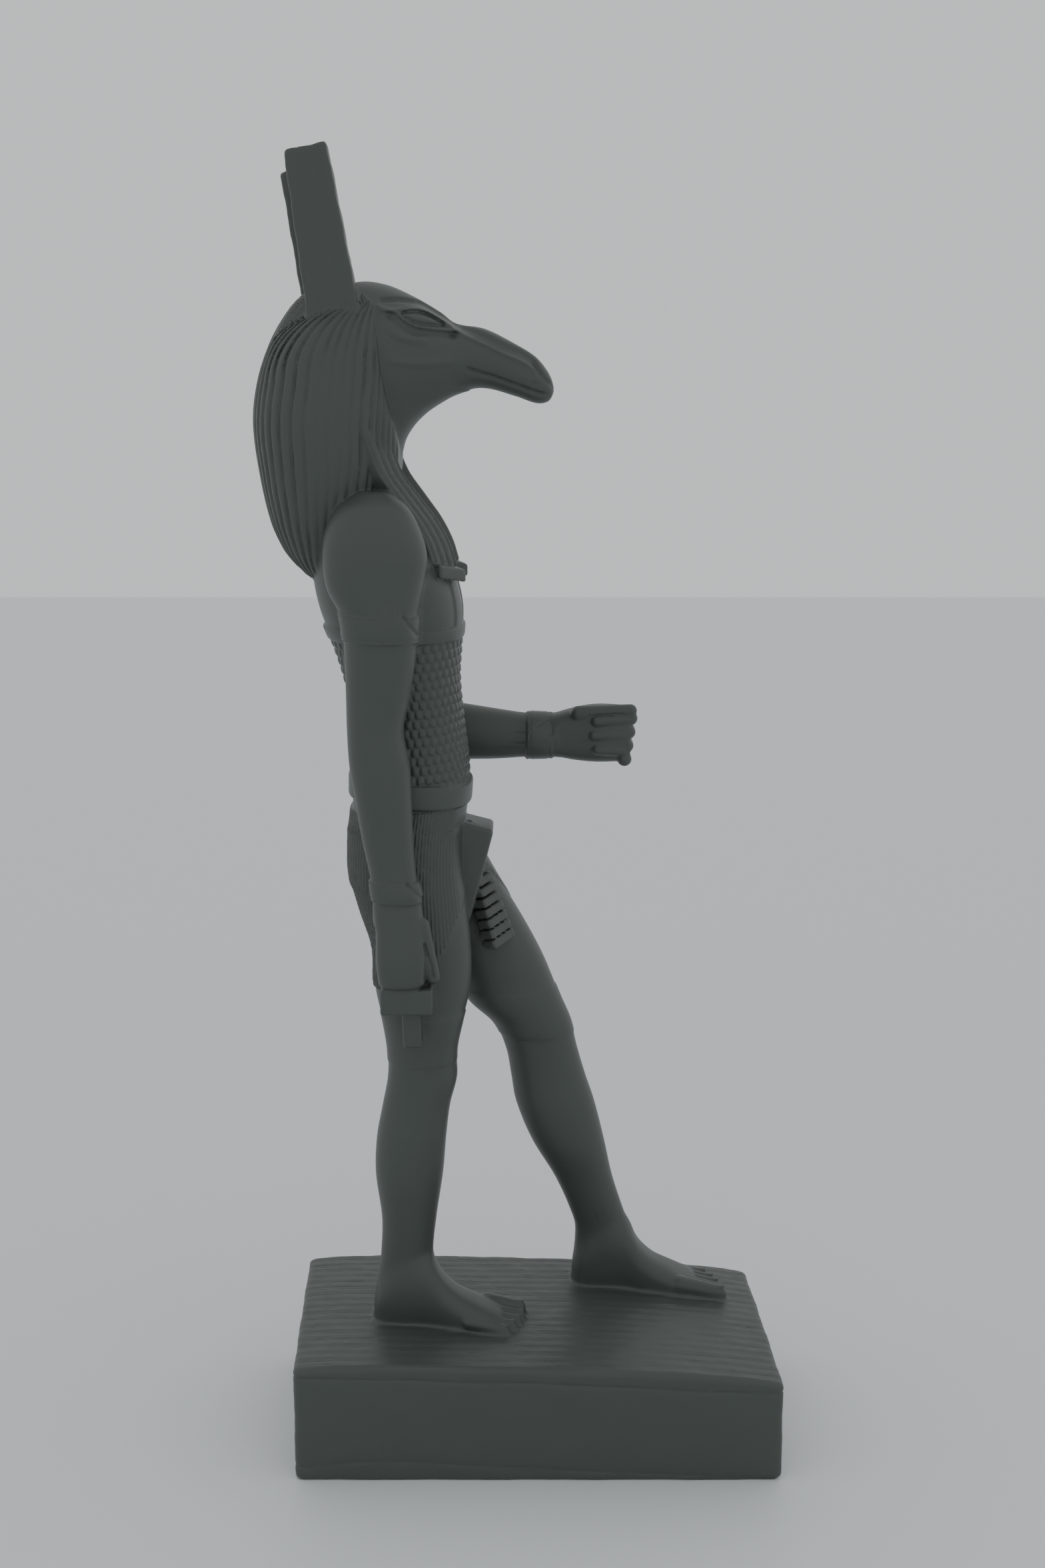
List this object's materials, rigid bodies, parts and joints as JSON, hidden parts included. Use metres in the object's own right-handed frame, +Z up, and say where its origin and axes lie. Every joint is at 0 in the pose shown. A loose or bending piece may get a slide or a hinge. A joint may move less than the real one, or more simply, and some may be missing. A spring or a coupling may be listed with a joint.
{
  "type": "carved stone figure of a striding god with a tall-eared animal head",
  "caption": "Dark stone figure of a striding, kilted god with a long-snouted, tall-eared head, holding an ankh, carved in one with its oblong plinth.",
  "frame": {"origin": "middle of the plinth's underside, which is the face the statue stands on", "axes": "+Z up, +X the way the figure walks and looks, -Y the figure's right side (the hand with the ankh)"},
  "size_m": [0.1215, 0.0665, 0.3012],
  "materials": {
    "dark_stone": "dark green-grey stone, rubbed smooth and half polished, with pale olive dust and limey residue in the carving and on the top of the plinth"
  },
  "bodies": {
    "root": {"statue": "dark_stone"}
  },
  "joints": []
}
